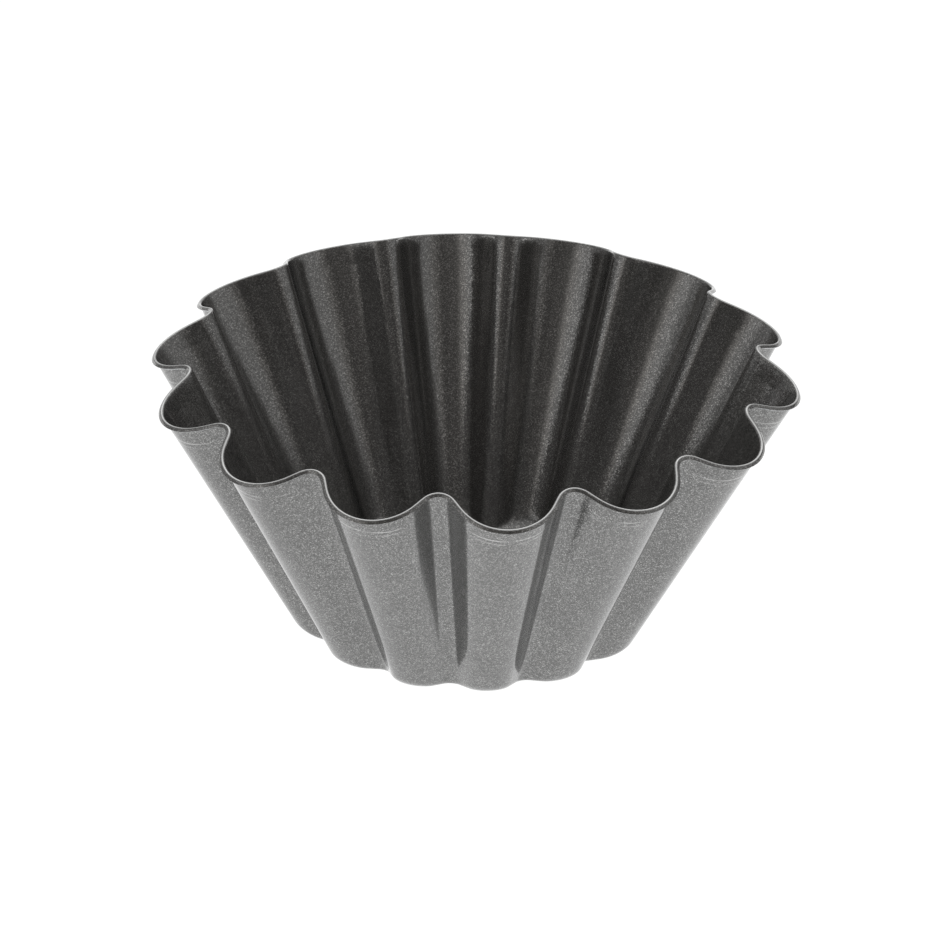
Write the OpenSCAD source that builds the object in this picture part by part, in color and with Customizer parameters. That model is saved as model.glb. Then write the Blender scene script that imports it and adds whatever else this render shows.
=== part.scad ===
// Brioche mould: one deep fluted cup pressed from thin steel sheet, with a baked non-stick
// film on both faces. The origin is the middle of the flat underside and +Z points up.
// A lobe's middle line lies on +X. All sizes are of the outer face, in millimetres.

/* [Overall size] */
// Width over two opposite lobes, outside the lip
rim_d = 220; // [180:1:264]
// Height of the lip at the crests between the lobes
height = 96.5; // [80:0.5:117]
// How much lower the lip runs at the lobes than at the crests
rim_drop = 6; // [0:0.5:7.5]

/* [Flutes] */
// Number of lobes round the wall
lobe_count = 14; // [12:2:16]
// Depth of the flutes at the rim
rim_flute = 13; // [10:0.5:16]
// Radius of the crest between two lobes at the rim
rim_crest_bend = 6.5; // [4:0.25:7.5]
// Steepest angle of the flanks at the rim, against the lobe's middle plane
rim_flank = 61; // [50:1:64]
// Radius of the crest between two lobes above the heel
base_crest_bend = 3.75; // [2.5:0.25:5]
// Steepest angle of the flanks above the heel
base_flank = 58.5; // [48:0.5:62]

/* [Base] */
// Width of the flat floor over two opposite lobes
floor_d = 107; // [90:1:130]
// Depth of the flutes at the edge of the flat floor
floor_flute = 2.75; // [1:0.25:4]
// Radius of the heel under a lobe
heel_r = 11.5; // [8:0.5:14]
// Radius of the heel under a crest
crest_heel_r = 4.5; // [3:0.5:7]

/* [Sheet] */
// Thickness of the steel sheet
sheet_t = 0.5; // [0.4:0.05:0.8]
// Thickness of the film on the inside
inner_film_t = 0.05; // [0.03:0.01:0.08]
// Thickness of the film on the outside
outer_film_t = 0.05; // [0.03:0.01:0.08]

/* [Lip] */
// Height of the plain collar under the lip, along the wall
collar_h = 6.5; // [3:0.5:8]
// How far the crease under the collar stands out from the straight wall, negative for in
crease_out = -0.15; // [-0.6:0.05:0.6]
// How much further out that crease runs on the flanks, midway between crests and lobes
crease_flank_out = 0.5; // [0:0.1:1]
// Radius inside the turned-out lip
lip_bend = 0.15; // [0.1:0.05:0.6]
// Angle through which the lip is turned
lip_turn = 125; // [90:5:160]
// Length of the straight part of the lip after its bend
lip_leg = 0.8; // [0.4:0.1:1.6]

/* [Hidden] */

// Straight pieces that stand for each curved stretch
lobe_steps = 3;
crest_steps = 2;
heel_steps = 3;
lip_steps = 3;

wall_t = outer_film_t + sheet_t + inner_film_t;
half_pitch = 180 / lobe_count;

// The lip across the sheet, at a depth under the outer face: how far each point lies out from
// its foot and how far along the wall above it
function lip_outline(depth) =
    let (arc = [for (s = [0:lip_steps])
        let (angle = lip_turn * s / lip_steps)
        [lip_bend - (lip_bend + depth) * cos(angle), (lip_bend + depth) * sin(angle)]])
    concat(arc, [arc[lip_steps] + lip_leg * [sin(lip_turn), cos(lip_turn)]]);

// How far the lip reaches out and up from its foot, on a wall of the mean lean
mean_lean = atan((rim_d - floor_d) / 2 / height);
lip_reach = max([for (p = lip_outline(wall_t)) p.x * cos(mean_lean) + p.y * sin(mean_lean)]);
lip_rise = max([for (p = lip_outline(wall_t)) p.y * cos(mean_lean) - p.x * sin(mean_lean)]);

// Ends of the wall, just under the lip, in the planes of a lobe and of a crest
lobe_rim_r = rim_d / 2 - lip_reach;
crest_rim_r = lobe_rim_r - rim_flute;
crest_rim_z = height - lip_rise;
lobe_rim_z = crest_rim_z - rim_drop;

// Edge of the flat floor
lobe_floor_r = floor_d / 2;
crest_floor_r = lobe_floor_r - floor_flute;

function unit(v) = v / norm(v);

function mix(low, high, share) = low + (high - low) * share;

function turn(p, angle) = [p.x * cos(angle) - p.y * sin(angle), p.x * sin(angle) + p.y * cos(angle)];

// Lean from the vertical of a straight wall that leaves a heel and ends at the rim
function wall_lean(floor_r, bend_r, rim_r, rim_z) =
    let (run = rim_r - floor_r, rise = rim_z - bend_r)
    atan2(run, rise) - asin(bend_r / norm([run, rise]));

lobe_lean = wall_lean(lobe_floor_r, heel_r, lobe_rim_r, lobe_rim_z);
crest_lean = wall_lean(crest_floor_r, crest_heel_r, crest_rim_r, crest_rim_z);

// A point of a heel's arc as radius and height, share 0 on the floor and 1 where the wall starts
function heel_point(floor_r, bend_r, lean, share) =
    let (angle = (90 - lean) * share)
    [floor_r + bend_r * sin(angle), bend_r * (1 - cos(angle))];

lobe_start = heel_point(lobe_floor_r, heel_r, lobe_lean, 1);
crest_start = heel_point(crest_floor_r, crest_heel_r, crest_lean, 1);

// Angle at which a lobe's arc and a crest's arc meet with no straight flank between them
function meeting_angle(lobe_r, crest_mid, crest_bend) =
    let (
        run = crest_mid.x - lobe_r,
        lobe_bend = (run ^ 2 + crest_mid.y ^ 2 - crest_bend ^ 2) / 2 / (crest_bend - run)
    )
    atan2(crest_mid.y, run + lobe_bend);

// Half a flute in plan, from a lobe's middle to the next crest's middle: the lobe's arc,
// a straight flank that touches both arcs, and the crest's arc. Where a set of sizes leaves no
// room for the flank's angle, it takes the widest at which a little of the flank stays straight.
function half_flute(lobe_r, crest_r, crest_bend, flank) =
    let (
        crest_mid = (crest_r + crest_bend) * [cos(half_pitch), sin(half_pitch)],
        turned = min(flank, 0.97 * meeting_angle(lobe_r, crest_mid, crest_bend)),
        side = [cos(turned), sin(turned)],
        lobe_bend = (crest_mid * side - lobe_r * side.x - crest_bend) / (1 - side.x)
    )
    concat(
        [for (i = [0:lobe_steps])
            let (angle = turned * i / lobe_steps)
            [lobe_r - lobe_bend + lobe_bend * cos(angle), lobe_bend * sin(angle)]],
        [for (i = [0:crest_steps])
            let (angle = mix(turned, half_pitch, i / crest_steps))
            crest_mid - crest_bend * [cos(angle), sin(angle)]]
    );

// The whole outline in plan, from half a flute
function outline(half) =
    let (
        last = len(half) - 1,
        flute = concat([for (i = [last - 1:-1:1]) [half[i].x, -half[i].y]], half)
    )
    [for (k = [0:lobe_count - 1]) for (p = flute) turn(p, 360 * k / lobe_count)];

// For each point of an outline, 0 on a crest and 1 on a lobe
function waves(plan, crest_r, lobe_r) = [for (p = plan) (norm(p) - crest_r) / (lobe_r - crest_r)];

base_plan = outline(half_flute(lobe_start[0], crest_start[0], base_crest_bend, base_flank));
base_waves = waves(base_plan, crest_start[0], lobe_start[0]);
rim_plan = outline(half_flute(lobe_rim_r, crest_rim_r, rim_crest_bend, rim_flank));
rim_waves = waves(rim_plan, crest_rim_r, lobe_rim_r);
last_point = len(base_plan) - 1;

function heel_ring(share) =
    let (
        lobe = heel_point(lobe_floor_r, heel_r, lobe_lean, share),
        crest = heel_point(crest_floor_r, crest_heel_r, crest_lean, share)
    )
    [for (j = [0:last_point])
        let (p = mix(crest, lobe, base_waves[j]), out = unit(base_plan[j]))
        [out.x * p[0], out.y * p[0], p[1]]];

wall_start_ring = heel_ring(1);
rim_ring = [for (j = [0:last_point])
    [rim_plan[j].x, rim_plan[j].y, mix(crest_rim_z, lobe_rim_z, rim_waves[j])]];

// Direction along a ring at one of its points, anticlockwise from above
function along(ring, j) = ring[j == last_point ? 0 : j + 1] - ring[j == 0 ? last_point : j - 1];

crease_ring = [for (j = [0:last_point])
    let (
        up = unit(rim_ring[j] - wall_start_ring[j]),
        out = unit(cross(along(rim_ring, j), up)),
        on_flank = 4 * rim_waves[j] * (1 - rim_waves[j])
    )
    rim_ring[j] - collar_h * up + (crease_out + crease_flank_out * on_flank) * out];

// Rings of the outer face, from the edge of the flat floor to the foot of the lip
wall_rings = concat(
    [for (i = [0:heel_steps]) heel_ring(i / heel_steps)],
    [crease_ring, rim_ring]
);
last_ring = len(wall_rings) - 1;

// Direction up the wall at one point: straight up the collar at the foot of the lip
function up_wall(i, j) =
    let (below = unit(wall_rings[i][j] - wall_rings[i - 1][j]))
    i == last_ring ? below : unit(below + unit(wall_rings[i + 1][j] - wall_rings[i][j]));

function outward(i, j) = i == 0 ? [0, 0, -1] : unit(cross(along(wall_rings[i], j), up_wall(i, j)));

normals = [for (i = [0:last_ring]) [for (j = [0:last_point]) outward(i, j)]];

// The ring of one point of the lip's outline
function lip_ring(p) = [for (j = [0:last_point])
    rim_ring[j] + p.x * normals[last_ring][j] + p.y * up_wall(last_ring, j)];

// All rings of the face that lies at a depth under the outer face
function face_rings(depth) = concat(
    [for (i = [0:last_ring - 1])
        [for (j = [0:last_point]) wall_rings[i][j] - depth * normals[i][j]]],
    [for (p = lip_outline(depth)) lip_ring(p)]
);

// Two triangles for each place between one ring and the next, seen clockwise from outside
function band(lower, upper) =
    [for (j = [0:last_point])
        let (k = j == last_point ? 0 : j + 1)
        for (t = [[lower + j, upper + j, upper + k], [lower + j, upper + k, lower + k]]) t];

function fan(middle, first) =
    [for (j = [0:last_point]) [middle, first + j, first + (j == last_point ? 0 : j + 1)]];

function flipped(triangles) = [for (t = triangles) [t[2], t[1], t[0]]];

// A closed layer between two depths under the outer face
module layer(outer_depth, inner_depth) {
    outer = face_rings(outer_depth);
    inner = face_rings(inner_depth);
    rings = len(outer);
    size = last_point + 1;
    inner_first = rings * size;
    outer_middle = 2 * rings * size;
    inner_middle = outer_middle + 1;
    points = concat(
        [for (ring = outer) for (p = ring) p],
        [for (ring = inner) for (p = ring) p],
        [[0, 0, outer_depth], [0, 0, inner_depth]]
    );
    outer_side = concat(
        fan(outer_middle, 0),
        [for (i = [0:rings - 2]) for (t = band(i * size, (i + 1) * size)) t]
    );
    inner_side = concat(
        fan(inner_middle, inner_first),
        [for (i = [0:rings - 2]) for (t = band(inner_first + i * size, inner_first + (i + 1) * size)) t]
    );
    edge = band(inner_first - size, outer_middle - size);
    polyhedron(points = points, faces = concat(outer_side, flipped(inner_side), edge), convexity = 12);
}

module sheet_body() {
    color([0.60, 0.61, 0.62])
        layer(outer_film_t, outer_film_t + sheet_t);
}

module inner_coating() {
    color([0.19, 0.19, 0.19])
        layer(outer_film_t + sheet_t, wall_t);
}

module outer_coating() {
    color([0.36, 0.36, 0.35])
        layer(0, outer_film_t);
}

sheet_body();
inner_coating();
outer_coating();
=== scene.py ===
from math import asin, atan, atan2, cos, hypot, pi, radians, sin

import bmesh
import bpy
from mathutils import Matrix, Vector


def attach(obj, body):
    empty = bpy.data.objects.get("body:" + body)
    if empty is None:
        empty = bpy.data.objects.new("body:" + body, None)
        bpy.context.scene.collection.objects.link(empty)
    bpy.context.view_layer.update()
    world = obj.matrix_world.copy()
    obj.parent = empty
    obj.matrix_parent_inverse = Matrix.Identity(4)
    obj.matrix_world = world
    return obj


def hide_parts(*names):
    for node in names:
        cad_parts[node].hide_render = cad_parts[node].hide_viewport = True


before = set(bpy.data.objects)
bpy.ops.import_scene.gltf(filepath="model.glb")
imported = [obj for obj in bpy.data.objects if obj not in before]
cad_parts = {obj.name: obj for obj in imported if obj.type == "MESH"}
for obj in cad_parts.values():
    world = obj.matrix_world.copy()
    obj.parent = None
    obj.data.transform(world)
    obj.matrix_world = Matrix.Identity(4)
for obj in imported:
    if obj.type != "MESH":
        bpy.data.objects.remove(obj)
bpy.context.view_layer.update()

# Brioche mould: one fluted cup pressed from thin steel sheet, with a dark non-stick film on
# both faces. Lengths are in metres and angles in degrees, unless a line says otherwise.

upAxis = Vector((0, 0, 1))


# Sizes of the pressing's outer face. A lobe is one bulge of the wall, a crest is the bend
# between two lobes, and a flank joins them. The heel is the bend between wall and floor.
mould = {
    "rimWidth": 0.220,         # over two lobes, outside the lip
    "height": 0.0965,          # to the lip at the crests
    "rimDrop": 0.006,          # how much lower the lip is at the lobes
    "lobeCount": 14,
    "rimFlute": 0.013,         # depth of the flutes at the rim
    "rimCrestBend": 0.0065,    # radius of a crest at the rim
    "rimFlank": 61,            # steepest angle of a flank at the rim
    "baseCrestBend": 0.00375,  # the same two just above the heel
    "baseFlank": 58.5,
    "floorWidth": 0.107,       # flat floor, over two lobes
    "floorFlute": 0.00275,     # depth of the flutes at the floor's edge
    "lobeHeelBend": 0.0115,
    "crestHeelBend": 0.0045,
    "collar": 0.0065,          # plain band under the lip
    "collarRow": 0.6,          # how far up the collar its one row of points lies, as a share
    "creaseOut": -0.00015,     # how far the fold under the collar stands out
    "flankOut": 0.0005,        # how much further out that fold runs on the flanks
    "creaseSoft": 0.0006,      # length over which that fold is rounded, to each side
    "lipBend": 0.00015,        # radius inside the turned-out lip
    "lipTurn": 125,
    "lipLeg": 0.0008,          # straight part after the bend
}

# Number of pieces that each stretch is divided into
steps = {
    "lobe": 10,
    "flank": 4,
    "crest": 7,
    "floor": 5,
    "heel": 9,
    "wall": 12,
    "crease": 4,
    "lip": 12,
    "leg": 2,
}

# Thickness of each layer, from the outside in
layers = {
    "outerFilm": 0.00005,
    "steel": 0.0005,
    "innerFilm": 0.00005,
}

joinDistance = 0.000002        # points closer than this become one
sharpAngle = 45                # edges bent further than this look sharp


def mix(low, high, share):
    return low + (high - low) * share


def wallLean(floorR, bend, rimR, rimZ):
    # lean from the vertical of a straight wall that leaves a heel and ends at the rim
    run, rise = rimR - floorR, rimZ - bend
    return atan2(run, rise) - asin(bend / hypot(run, rise))


def heelPoint(floorR, bend, lean, share):
    # a point of a heel as radius and height, share 0 on the floor and 1 where the wall starts
    angle = (pi / 2 - lean) * share
    return Vector((floorR + bend * sin(angle), bend * (1 - cos(angle))))


def verticesOf(result, key="geom"):
    return [g for g in result[key] if isinstance(g, bmesh.types.BMVert)]


def everyPart(bm):
    return bm.verts[:] + bm.edges[:] + bm.faces[:]


def roundOrder(vertices):
    return sorted(vertices, key=lambda v: atan2(v.co.y, v.co.x))


def mirrored(p):
    # the same point on the far side of the crest's middle plane
    halfPitch = pi / mould["lobeCount"]
    across = Vector((-sin(halfPitch), cos(halfPitch), 0))
    return p - 2 * p.dot(across) * across


def halfFlute(lobeR, crestR, crestBend, flank):
    # plan of half a flute: the lobe's arc, a straight flank that touches both arcs, the crest's
    halfPitch = pi / mould["lobeCount"]
    side = Vector((cos(flank), sin(flank), 0))
    crestMid = (crestR + crestBend) * Vector((cos(halfPitch), sin(halfPitch), 0))
    lobeBend = (crestMid.dot(side) - lobeR * side.x - crestBend) / (1 - side.x)
    lobeMid = Vector((lobeR - lobeBend, 0, 0))
    bm = bmesh.new()
    tip = bmesh.ops.create_vert(bm, co=(lobeR, 0, 0))["vert"]
    lobe = bmesh.ops.spin(bm, geom=tip, cent=lobeMid, axis=upAxis, angle=flank,
                          steps=steps["lobe"])
    pulled = bmesh.ops.extrude_vert_indiv(bm, verts=verticesOf(lobe, "geom_last"))
    flankStart = lobeMid + lobeBend * side
    flankEnd = crestMid - crestBend * side
    bmesh.ops.translate(bm, verts=pulled["verts"], vec=flankEnd - flankStart)
    bmesh.ops.spin(bm, geom=pulled["verts"], cent=crestMid, axis=upAxis,
                   angle=halfPitch - flank, steps=steps["crest"])
    bmesh.ops.subdivide_edges(bm, edges=pulled["edges"], cuts=steps["flank"] - 1)
    points = [v.co.copy() for v in roundOrder(bm.verts)]
    bm.free()
    return points


def lipOutline(depth):
    # the lip as out and up from its foot, at a depth under the outer face
    bend, turned = mould["lipBend"], radians(mould["lipTurn"])
    points = []
    for i in range(steps["lip"] + 1):
        a = turned * i / steps["lip"]
        points.append(Vector((bend - (bend + depth) * cos(a), (bend + depth) * sin(a))))
    legStep = mould["lipLeg"] / steps["leg"] * Vector((sin(turned), cos(turned)))
    for i in range(steps["leg"]):
        points.append(points[-1] + legStep)
    return points


def lipFoot():
    # radius of the lip's foot on a lobe and its height on a crest, which bring the outside of
    # the lip to the full width and height
    lean = atan((mould["rimWidth"] - mould["floorWidth"]) / 2 / mould["height"])
    lip = lipOutline(sum(layers.values()))
    reach = max(p.x * cos(lean) + p.y * sin(lean) for p in lip)
    rise = max(p.y * cos(lean) - p.x * sin(lean) for p in lip)
    return mould["rimWidth"] / 2 - reach, mould["height"] - rise


def outwards(rim, ups):
    # the wall's outward direction at each point of the rim
    last = len(rim) - 1
    outs = []
    for j, up in enumerate(ups):
        before = rim[j - 1] if j > 0 else Vector((rim[1].x, -rim[1].y, rim[1].z))
        after = rim[j + 1] if j < last else mirrored(rim[j - 1])
        outs.append((after - before).cross(up).normalized())
    return outs


def creaseRow(rim, ups, outs, waves):
    # the fold under the collar, which runs furthest out midway between crests and lobes
    row = []
    for top, up, out, wave in zip(rim, ups, outs, waves):
        away = mould["creaseOut"] + mould["flankOut"] * 4 * wave * (1 - wave)
        row.append(top - mould["collar"] * up + away * out)
    return row


def collarRows(start, creases, rim):
    # the rounded fold, and one row of points on the collar above it
    soft = mould["creaseSoft"]
    rows = []
    for i in range(steps["crease"] + 1):
        t = i / steps["crease"]
        row = []
        for foot, crease, top in zip(start, creases, rim):
            low = crease + (foot - crease).normalized() * soft
            high = crease + (top - crease).normalized() * soft
            row.append(low.lerp(crease, t).lerp(crease.lerp(high, t), t))
        rows.append(row)
    rows.append([crease.lerp(top, mould["collarRow"]) for crease, top in zip(creases, rim)])
    return rows


def lipRows(rim, creases, outs):
    rows = []
    for p in lipOutline(0):
        row = []
        for top, crease, out in zip(rim, creases, outs):
            up = (top - crease).normalized()
            away = (out - out.dot(up) * up).normalized()
            row.append(top + p.x * away + p.y * up)
        rows.append(row)
    return rows


def wallRows():
    # half a flute of the outer face as rows of points, from the floor's edge to the lip's end
    lobeRimR, crestRimZ = lipFoot()
    crestRimR = lobeRimR - mould["rimFlute"]
    lobeRimZ = crestRimZ - mould["rimDrop"]
    lobeFloorR = mould["floorWidth"] / 2
    crestFloorR = lobeFloorR - mould["floorFlute"]
    lobeBend, crestBend = mould["lobeHeelBend"], mould["crestHeelBend"]
    lobeLean = wallLean(lobeFloorR, lobeBend, lobeRimR, lobeRimZ)
    crestLean = wallLean(crestFloorR, crestBend, crestRimR, crestRimZ)

    def heelAt(wave, share):
        return mix(heelPoint(crestFloorR, crestBend, crestLean, share),
                   heelPoint(lobeFloorR, lobeBend, lobeLean, share), wave)

    lobeStartR, crestStartR = heelAt(1, 1).x, heelAt(0, 1).x
    base = halfFlute(lobeStartR, crestStartR, mould["baseCrestBend"], radians(mould["baseFlank"]))
    rim = halfFlute(lobeRimR, crestRimR, mould["rimCrestBend"], radians(mould["rimFlank"]))
    baseWaves = [(p.length - crestStartR) / (lobeStartR - crestStartR) for p in base]
    rimWaves = [(p.length - crestRimR) / (lobeRimR - crestRimR) for p in rim]
    for p, wave in zip(rim, rimWaves):
        p.z = mix(crestRimZ, lobeRimZ, wave)

    rows = []
    for i in range(steps["heel"] + 1):
        row = []
        for p, wave in zip(base, baseWaves):
            at = heelAt(wave, i / steps["heel"])
            row.append(at.x * p.normalized() + at.y * upAxis)
        rows.append(row)

    start = rows[-1]
    ups = [(top - foot).normalized() for top, foot in zip(rim, start)]
    outs = outwards(rim, ups)
    creases = creaseRow(rim, ups, outs, rimWaves)
    for i in range(1, steps["wall"]):
        share = i / steps["wall"]
        rows.append([foot.lerp(crease, share) for foot, crease in zip(start, creases)])
    return rows + collarRows(start, creases, rim) + lipRows(rim, creases, outs)


def wallDrops(rows):
    # for each point, the length along the wall down from the foot of the lip, negative on the lip
    foot = len(rows) - 1 - steps["leg"] - steps["lip"]
    drops = [[0] * len(row) for row in rows]
    for i in range(foot - 1, -1, -1):
        for j, p in enumerate(rows[i]):
            drops[i][j] = drops[i + 1][j] + (rows[i + 1][j] - p).length
    for i in range(foot + 1, len(rows)):
        for j, p in enumerate(rows[i]):
            drops[i][j] = drops[i - 1][j] - (rows[i - 1][j] - p).length
    return drops


def pulledRow(bm, edges):
    # a new row of points pulled out of these edges, with the edges between them
    made = bmesh.ops.extrude_edge_only(bm, edges=edges)
    row = verticesOf(made)
    inRow = set(row)
    joined = [g for g in made["geom"]
              if isinstance(g, bmesh.types.BMEdge) and set(g.verts) <= inRow]
    return row, joined


def closeFloor(bm):
    # the flat floor: rings drawn in from its edge and closed at the middle
    edges = [e for e in bm.edges
             if e.is_boundary and all(v.co.z < joinDistance for v in e.verts)]
    for i in range(steps["floor"]):
        left = 1 - i / steps["floor"]
        right = 1 - (i + 1) / steps["floor"]
        ring, edges = pulledRow(bm, edges)
        if right > 0:
            bmesh.ops.scale(bm, vec=(right / left,) * 3, verts=ring)
        else:
            bmesh.ops.pointmerge(bm, verts=ring, merge_co=(0, 0, 0))


def outerFace():
    # the whole outer face: half a flute drawn row by row, mirrored and repeated round the axis.
    # Each point keeps its drop under the lip's foot, and its wave: 1 on a lobe, 0 on a crest.
    rows = wallRows()
    drops = wallDrops(rows)
    bm = bmesh.new()
    drop = bm.verts.layers.float.new("drop")
    wave = bm.verts.layers.float.new("wave")
    row = [bmesh.ops.create_vert(bm, co=p)["vert"][0] for p in rows[0]]
    edges = [bm.edges.new(pair) for pair in zip(row, row[1:])]
    for i, points in enumerate(rows):
        if i > 0:
            row, edges = pulledRow(bm, edges)
            row = roundOrder(row)
        for j, (v, p) in enumerate(zip(row, points)):
            v.co = p
            v[drop] = drops[i][j]
            v[wave] = 1 - j / (len(points) - 1)
    bmesh.ops.mirror(bm, geom=everyPart(bm), axis="Y", merge_dist=joinDistance)
    count = mould["lobeCount"]
    bmesh.ops.spin(bm, geom=everyPart(bm), cent=(0, 0, 0), axis=upAxis,
                   angle=2 * pi * (count - 1) / count, steps=count - 1, use_duplicate=True)
    bmesh.ops.remove_doubles(bm, verts=bm.verts, dist=joinDistance)
    closeFloor(bm)

    bmesh.ops.recalc_face_normals(bm, faces=bm.faces)
    bm.normal_update()
    lowest = min(bm.faces, key=lambda f: f.calc_center_median().z)
    if lowest.normal.z > 0:
        bmesh.ops.reverse_faces(bm, faces=bm.faces)
    return bm


def layer(face, name, depth, thickness):
    # a closed layer that lies at a depth under the outer face
    bm = face.copy()
    bm.normal_update()
    normals = [v.normal.copy() for v in bm.verts]
    for v, n in zip(bm.verts, normals):
        v.co -= n * depth
    grown = bmesh.ops.extrude_face_region(bm, geom=bm.faces[:], use_keep_orig=True)
    for v in verticesOf(grown):
        v.co -= v.normal * thickness
    bmesh.ops.recalc_face_normals(bm, faces=bm.faces)
    mesh = bpy.data.meshes.new(name)
    bm.to_mesh(mesh)
    bm.free()
    mesh.shade_smooth()
    mesh.set_sharp_from_angle(angle=radians(sharpAngle))
    piece = bpy.data.objects.new(name, mesh)
    bpy.context.scene.collection.objects.link(piece)
    return piece


face = outerFace()
outerFilm = layer(face, "outer_film", 0, layers["outerFilm"])
steelSheet = layer(face, "steel_sheet", layers["outerFilm"], layers["steel"])
innerFilm = layer(face, "inner_film", layers["outerFilm"] + layers["steel"], layers["innerFilm"])
face.free()
for piece in (outerFilm, steelSheet, innerFilm):
    piece.data.calc_loop_triangles()
    print("layer", piece.name, "has", len(piece.data.loop_triangles), "triangles")

for piece, node, slot in (
    (outerFilm, "outer_coating", "outer_film"),
    (steelSheet, "sheet_body", "steel_sheet"),
    (innerFilm, "inner_coating", "inner_film"),
):
    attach(piece, "root")
    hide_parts(node)


def feed(t, node, values):
    # fills inputs by name or number: an output is linked, anything else is set as a constant
    for key, value in values.items():
        if isinstance(value, bpy.types.NodeSocket):
            t.links.new(value, node.inputs[key])
        else:
            node.inputs[key].default_value = value


def mathNode(t, operation, *values):
    made = t.nodes.new("ShaderNodeMath")
    made.operation = operation
    feed(t, made, dict(enumerate(values)))
    return made.outputs[0]


def mapNode(t, value, source, target=(0, 1), kind="SMOOTHSTEP"):
    # carries a value from one range to another and holds it at the ends
    made = t.nodes.new("ShaderNodeMapRange")
    made.interpolation_type = kind
    feed(t, made, {"Value": value, "From Min": source[0], "From Max": source[1],
                   "To Min": target[0], "To Max": target[1]})
    return made.outputs[0]


def mouldPlace(t):
    return t.nodes.new("ShaderNodeTexCoord").outputs["Object"]


def noiseNode(t, size, detail, roughness=0.5):
    made = t.nodes.new("ShaderNodeTexNoise")
    feed(t, made, {"Vector": mouldPlace(t), "Scale": 1 / size, "Detail": detail,
                   "Roughness": roughness})
    return made.outputs["Fac"]


def bumpNode(t, height, distance, under=None):
    # raises the surface by a distance where the height is 1, over another normal if given
    made = t.nodes.new("ShaderNodeBump")
    feed(t, made, {"Strength": 1, "Distance": distance, "Height": height})
    if under is not None:
        feed(t, made, {"Normal": under})
    return made.outputs[0]


def colourMix(t, blend, share, first, second):
    # inputs 6 and 7 and output 2 are the colour sockets of this node
    made = t.nodes.new("ShaderNodeMix")
    made.data_type = "RGBA"
    made.blend_type = blend
    feed(t, made, {0: share, 6: first, 7: second})
    return made.outputs[2]


def newGroup(name, inputs, outputs):
    group = bpy.data.node_groups.new(name, "ShaderNodeTree")
    for label, value in inputs.items():
        socket = group.interface.new_socket(label, in_out="INPUT", socket_type="NodeSocketFloat")
        socket.default_value = value
    for label, kind in outputs.items():
        group.interface.new_socket(label, in_out="OUTPUT", socket_type=kind)
    return group, group.nodes.new("NodeGroupInput"), group.nodes.new("NodeGroupOutput")


def newMaterial(name):
    # a material with one plain surface shader, ready to be fed
    material = bpy.data.materials.new(name)
    material.use_nodes = True
    t = material.node_tree
    t.nodes.clear()
    out = t.nodes.new("ShaderNodeOutputMaterial")
    skin = t.nodes.new("ShaderNodeBsdfPrincipled")
    feed(t, out, {"Surface": skin.outputs[0]})
    return material, t, skin


# The pattern in both sprayed films
flakes = {
    "size": 0.00028,           # across one metal flake
    "fineSize": 0.00015,
    "rarity": 4.5,             # higher leaves fewer bright flakes
    "fineRarity": 3.0,
    "strength": 0.7,           # how bright the large flakes and the fine ones show
    "fineStrength": 0.35,
    "peelSize": 0.0013,        # ripple of the sprayed film
    "cloudSize": 0.03,         # slow change of tone over the wall
    "cloudRange": (0.3, 0.7),  # values of the noise at the darkest and the lightest tone
}


def flakeGroup():
    t, start, end = newGroup(
        "metalFlakes",
        {"Flake Size": flakes["size"], "Fine Size": flakes["fineSize"], "Tilt": 0},
        {"Flake": "NodeSocketFloat", "Cloud": "NodeSocketFloat", "Normal": "NodeSocketVector"},
    )
    place = mouldPlace(t)

    def cellColour(size):
        cells = t.nodes.new("ShaderNodeTexVoronoi")
        feed(t, cells, {"Vector": place, "Scale": mathNode(t, "DIVIDE", 1, size)})
        return cells.outputs["Color"]

    def rare(colour, rarity):
        parts = t.nodes.new("ShaderNodeSeparateColor")
        feed(t, parts, {0: colour})
        return mathNode(t, "POWER", parts.outputs[0], rarity)

    def vectorNode(operation, *values):
        made = t.nodes.new("ShaderNodeVectorMath")
        made.operation = operation
        feed(t, made, dict(enumerate(values)))
        return made

    large = cellColour(start.outputs["Flake Size"])
    fine = cellColour(start.outputs["Fine Size"])
    both = mathNode(t, "MULTIPLY_ADD", rare(fine, flakes["fineRarity"]), flakes["fineStrength"],
                    mathNode(t, "MULTIPLY", rare(large, flakes["rarity"]), flakes["strength"]))

    # each large flake lies a little askew
    tilt = vectorNode("SCALE", vectorNode("SUBTRACT", large, (0.5, 0.5, 0.5)).outputs[0])
    feed(t, tilt, {"Scale": start.outputs["Tilt"]})
    facing = t.nodes.new("ShaderNodeNewGeometry").outputs["Normal"]
    leaning = vectorNode("NORMALIZE", vectorNode("ADD", facing, tilt.outputs[0]).outputs[0])

    feed(t, end, {"Flake": mathNode(t, "MINIMUM", both, 1), "Normal": leaning.outputs[0],
                  "Cloud": noiseNode(t, flakes["cloudSize"], 4, 0.6)})
    return t


# Painted highlights in the films: light lines painted into the colour along the fold under the
# collar and along the bend of the lip. Each has a drop, which is its length along the wall below
# the foot of the lip, a width and a brightness.
foldHighlightLines = {
    "fold": {"drop": 0.0066, "width": 0.00024, "shine": 0.62},
    "below": {"drop": 0.0086, "width": 0.0003, "shine": 0.3},
}

# painted highlight along the bend of the lip, on the inner film
lipHighlightLines = {
    "bend": {"drop": -0.00018, "width": 0.00006, "shine": 1.0},
}

# how the painted highlight lines look: their colour, the bump under the fold's lines, and where
# they break off
highlightLineLook = {
    "tint": (0.88, 0.88, 0.87, 1),
    "foldHeight": 0.00003,
    "breakSize": 0.009,        # size of the noise that interrupts the fold's lines
    "breakRange": (0.35, 0.6),    # noise where a line starts to show and where it shows in full
    "lobeRange": (0.3, 0.85),     # the same for the wave, so that the lines stay on the lobes
}


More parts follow.
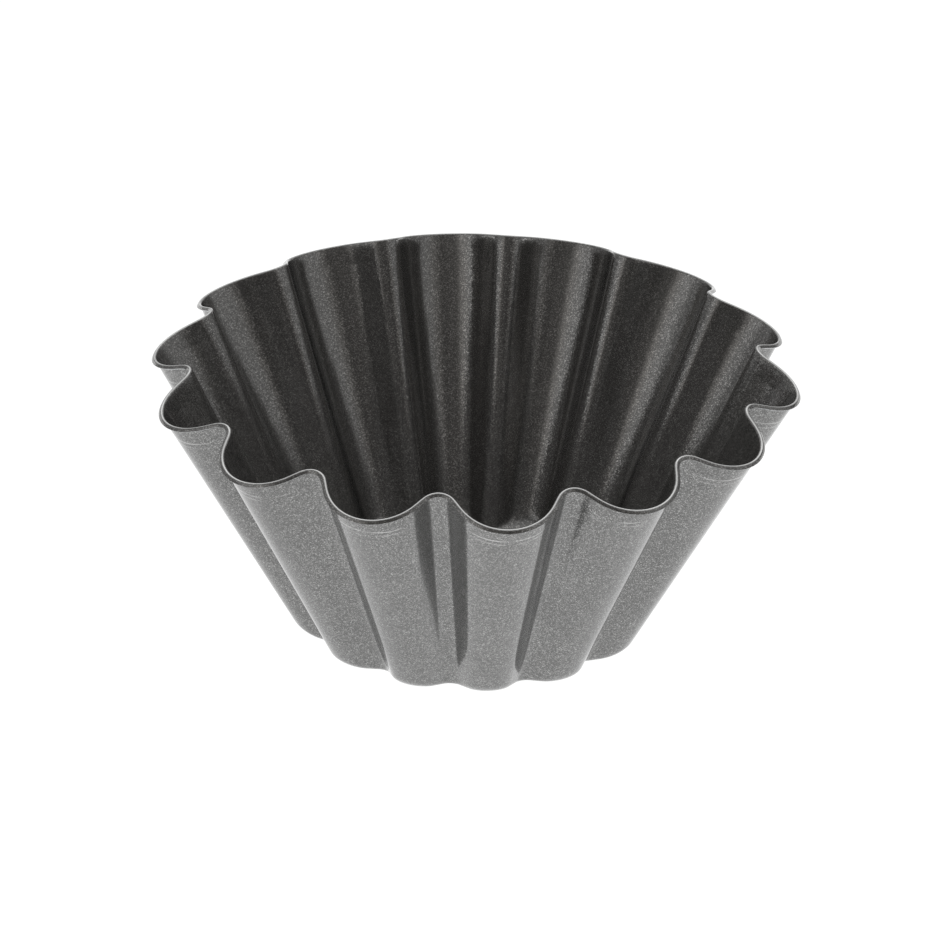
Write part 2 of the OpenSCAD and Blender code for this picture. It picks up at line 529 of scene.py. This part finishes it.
def highlightLineGroup(name, lines, broken):
    # painted highlight lines that run round the wall, whole or as broken arcs on the lobes only
    t, start, end = newGroup(name, {}, {"Shine": "NodeSocketFloat"})

    def attribute(label):
        made = t.nodes.new("ShaderNodeAttribute")
        made.attribute_name = label
        return made.outputs["Fac"]

    drop = attribute("drop")
    total = 0
    for line in lines.values():
        off = mathNode(t, "DIVIDE", mathNode(t, "SUBTRACT", drop, line["drop"]), line["width"])
        square = mathNode(t, "MULTIPLY", off, off)
        bell = mathNode(t, "EXPONENT", mathNode(t, "MULTIPLY", square, -1))
        total = mathNode(t, "MULTIPLY_ADD", bell, line["shine"], total)
    if broken:
        breaks = noiseNode(t, highlightLineLook["breakSize"], 2)
        total = mathNode(t, "MULTIPLY", total, mapNode(t, breaks, highlightLineLook["breakRange"]))
        onLobe = mapNode(t, attribute("wave"), highlightLineLook["lobeRange"])
        total = mathNode(t, "MULTIPLY", total, onLobe)
    feed(t, end, {"Shine": total})
    return t


outerFinish = {
    "darkTint": (0.108, 0.108, 0.106, 1),
    "flakeTint": (0.64, 0.64, 0.63, 1),
    "metallic": 0.75,
    "roughness": (0.21, 0.13),    # between the flakes, and on them
    "flakeTilt": 0.07,
    "peelDepth": 0.0000015,
    "edgeTint": (0.62, 0.62, 0.62, 1),    # what the flakes reflect near grazing
    "gloss": 0.8,                 # clear binder over the flakes
    "glossRoughness": 0.035,
    "cloudTones": (0.9, 1.1),
}

innerFinish = dict(outerFinish)
innerFinish["darkTint"] = (0.112, 0.110, 0.106, 1)
innerFinish["flakeTint"] = (0.62, 0.61, 0.595, 1)
innerFinish["metallic"] = 0.8


def filmMaterial(name, values, pattern, lines, lineHeight):
    material, t, skin = newMaterial(name)
    field = t.nodes.new("ShaderNodeGroup")
    field.node_tree = pattern
    feed(t, field, {"Tilt": values["flakeTilt"]})
    paintedHighlight = t.nodes.new("ShaderNodeGroup")
    paintedHighlight.node_tree = lines
    flake, shine = field.outputs["Flake"], paintedHighlight.outputs["Shine"]

    tone = colourMix(t, "MIX", flake, values["darkTint"], values["flakeTint"])
    cloud = mapNode(t, field.outputs["Cloud"], flakes["cloudRange"], values["cloudTones"],
                    "LINEAR")
    tone = colourMix(t, "MULTIPLY", 1, tone, cloud)
    # painted highlight: the light lines lighten the colour toward a near-white tint
    tone = colourMix(t, "MIX", shine, tone, highlightLineLook["tint"])

    peel = noiseNode(t, flakes["peelSize"], 1)
    rippled = bumpNode(t, peel, values["peelDepth"], field.outputs["Normal"])
    feed(t, skin, {
        "Base Color": tone,
        "Normal": bumpNode(t, shine, lineHeight, rippled),
        "Roughness": mapNode(t, flake, (0, 1), values["roughness"], "LINEAR"),
        "Metallic": values["metallic"],
        "Specular Tint": values["edgeTint"],
        "Coat Weight": values["gloss"],
        "Coat Roughness": values["glossRoughness"],
    })
    return material


# The cut edge of the sheet, which shows at the end of the lip
cutSteel = {
    "darkTint": (0.42, 0.43, 0.44, 1),
    "lightTint": (0.70, 0.71, 0.72, 1),
    "roughness": (0.25, 0.5),
    "grainSize": 0.0004,
    "grainDepth": 0.00001,
}


def steelMaterial(name):
    material, t, skin = newMaterial(name)
    grain = noiseNode(t, cutSteel["grainSize"], 3)
    feed(t, skin, {
        "Base Color": colourMix(t, "MIX", grain, cutSteel["darkTint"], cutSteel["lightTint"]),
        "Normal": bumpNode(t, grain, cutSteel["grainDepth"]),
        "Roughness": mapNode(t, grain, (0, 1), cutSteel["roughness"], "LINEAR"),
        "Metallic": 1,
    })
    return material


flakePattern = flakeGroup()
# painted highlights: broken light lines along the fold of the outer film, a whole one along the
# bend of the lip
brokenFoldHighlights = highlightLineGroup("foldHighlightLines", foldHighlightLines, True)
wholeLipHighlight = highlightLineGroup("lipHighlightLines", lipHighlightLines, False)
outerFilm.data.materials.append(filmMaterial(
    "outer_film", outerFinish, flakePattern, brokenFoldHighlights, highlightLineLook["foldHeight"]))
innerFilm.data.materials.append(filmMaterial(
    "inner_film", innerFinish, flakePattern, wholeLipHighlight, 0))
steelSheet.data.materials.append(steelMaterial("cut_steel"))
print("finishes are ready")


# The camera that took the photograph, fitted to the mould's edges in it
view = {
    "lens": 222.4,             # mm, on a sensor of the width below
    "sensorWidth": 36,
    "distance": 1.9745,
    "elevation": 28.165,
    "turn": 6.393,             # round the mould, from straight in front
    "roll": 0.948,
    "aimRight": -0.00107,
    "aimHeight": 0.05394,
    "nearest": 0.05,           # what lies nearer or farther than these isn't drawn
    "farthest": 50,
}

# The floor, and the soft light that comes from every direction
studio = {
    "floorSize": 16,
    "floorDepth": 0.00005,     # below the mould's underside, so that the two faces don't coincide
    "floorTone": 0.82,
    "floorWhite": 0.9,         # share of plain white in what the camera and reflections see
    "floorGlow": 1.15,         # brightness of that white
    "lowGlow": 0.085,          # brightness near the horizon
    "highGlow": 0.16,          # and from this elevation upwards
    "glowFull": 45,
    "warmTint": (1, 0.97, 0.94, 1),    # of the light from where the camera stands
    "warmElevation": 10,
    "warmInner": 30,           # half angle within which the tint is full
    "warmOuter": 60,           # half angle where it ends
}

# Brighter soft fields far from the mould: turn and elevation of the middle, half angle of the
# full part, half angle where it ends, and brightness
softLights = {
    "left": {"turn": -140, "elevation": 24, "inner": 4, "outer": 32, "brightness": 0.58},
    "leftWide": {"turn": 166, "elevation": 12, "inner": 10, "outer": 40, "brightness": 0.25},
    "right": {"turn": -5, "elevation": 26, "inner": 15, "outer": 56, "brightness": 0.34},
    "front": {"turn": -97, "elevation": 24, "inner": 4, "outer": 28, "brightness": 0.05},
    "overhead": {"turn": 96, "elevation": 74, "inner": 20, "outer": 50, "brightness": 0.46},
    "behind": {"turn": 96, "elevation": 10, "inner": 22, "outer": 56, "brightness": 0.54},
}

white = (1, 1, 1, 1)


def seenShare(t, share):
    # the share for rays from the camera, or that metal reflects or glass lets through
    path = t.nodes.new("ShaderNodeLightPath")
    seen = mathNode(t, "MAXIMUM", path.outputs["Is Camera Ray"], path.outputs["Is Glossy Ray"])
    seen = mathNode(t, "MAXIMUM", seen, path.outputs["Is Transmission Ray"])
    return mathNode(t, "MULTIPLY", seen, share)


def floorMaterial():
    material = bpy.data.materials.new("floor")
    material.use_nodes = True
    t = material.node_tree
    t.nodes.clear()
    matt = t.nodes.new("ShaderNodeBsdfDiffuse")
    feed(t, matt, {"Color": (studio["floorTone"],) * 3 + (1,)})
    bright = t.nodes.new("ShaderNodeEmission")
    feed(t, bright, {"Color": white, "Strength": studio["floorGlow"]})
    both = t.nodes.new("ShaderNodeMixShader")
    feed(t, both, {0: seenShare(t, studio["floorWhite"]), 1: matt.outputs[0],
                   2: bright.outputs[0]})
    feed(t, t.nodes.new("ShaderNodeOutputMaterial"), {"Surface": both.outputs[0]})
    return material


def layFloor():
    bm = bmesh.new()
    bmesh.ops.create_grid(bm, x_segments=1, y_segments=1, size=studio["floorSize"] / 2)
    mesh = bpy.data.meshes.new("floor")
    bm.to_mesh(mesh)
    bm.free()
    mesh.materials.append(floorMaterial())
    floor = bpy.data.objects.new("floor", mesh)
    bpy.context.scene.collection.objects.link(floor)
    floor.location.z = -studio["floorDepth"]
    return floor


def pointAt(turn, elevation):
    flat = cos(radians(elevation))
    return Vector((cos(radians(turn)) * flat, sin(radians(turn)) * flat, sin(radians(elevation))))


def worldLight():
    world = bpy.data.worlds.new("studio")
    world.use_nodes = True
    t = world.node_tree
    t.nodes.clear()
    direction = t.nodes.new("ShaderNodeTexCoord").outputs["Generated"]

    def softField(turn, elevation, inner, outer, brightness):
        # even within the inner half angle, and fading to nothing at the outer one
        toward = t.nodes.new("ShaderNodeVectorMath")
        toward.operation = "DOT_PRODUCT"
        feed(t, toward, {0: direction, 1: pointAt(turn, elevation)})
        edges = cos(radians(outer)), cos(radians(inner))
        return mapNode(t, toward.outputs["Value"], edges, (0, brightness))

    height = t.nodes.new("ShaderNodeSeparateXYZ")
    feed(t, height, {0: direction})
    total = mapNode(t, height.outputs["Z"], (0, sin(radians(studio["glowFull"]))),
                    (studio["lowGlow"], studio["highGlow"]))
    for light in softLights.values():
        total = mathNode(t, "ADD", total, softField(**light))
    warmth = softField(view["turn"] - 90, studio["warmElevation"], studio["warmInner"],
                       studio["warmOuter"], 1)
    glow = t.nodes.new("ShaderNodeBackground")
    feed(t, glow, {"Color": colourMix(t, "MIX", warmth, white, studio["warmTint"]),
                   "Strength": total})

    # the camera sees plain white where the floor ends
    plain = t.nodes.new("ShaderNodeBackground")
    feed(t, plain, {"Color": white, "Strength": 1})
    path = t.nodes.new("ShaderNodeLightPath")
    both = t.nodes.new("ShaderNodeMixShader")
    feed(t, both, {0: path.outputs["Is Camera Ray"], 1: glow.outputs[0], 2: plain.outputs[0]})
    feed(t, t.nodes.new("ShaderNodeOutputWorld"), {"Surface": both.outputs[0]})
    bpy.context.scene.world = world


def placeCamera():
    lens = bpy.data.cameras.new("camera")
    lens.sensor_fit = "HORIZONTAL"
    lens.sensor_width = view["sensorWidth"]
    lens.lens = view["lens"]
    lens.clip_start = view["nearest"]
    lens.clip_end = view["farthest"]
    camera = bpy.data.objects.new("camera", lens)
    bpy.context.scene.collection.objects.link(camera)
    camera.matrix_world = (
        Matrix.Rotation(radians(view["turn"]), 4, "Z")
        @ Matrix.Translation((view["aimRight"], 0, view["aimHeight"]))
        @ Matrix.Rotation(radians(90 - view["elevation"]), 4, "X")
        @ Matrix.Rotation(radians(view["roll"]), 4, "Z")
        @ Matrix.Translation((0, 0, view["distance"]))
    )
    bpy.context.scene.camera = camera
    return camera


layFloor()
worldLight()
print("floor and", len(softLights), "soft lights are ready")
camera = placeCamera()
bpy.context.scene.view_settings.view_transform = "Standard"
print("camera is at", [round(x, 3) for x in camera.matrix_world.translation])
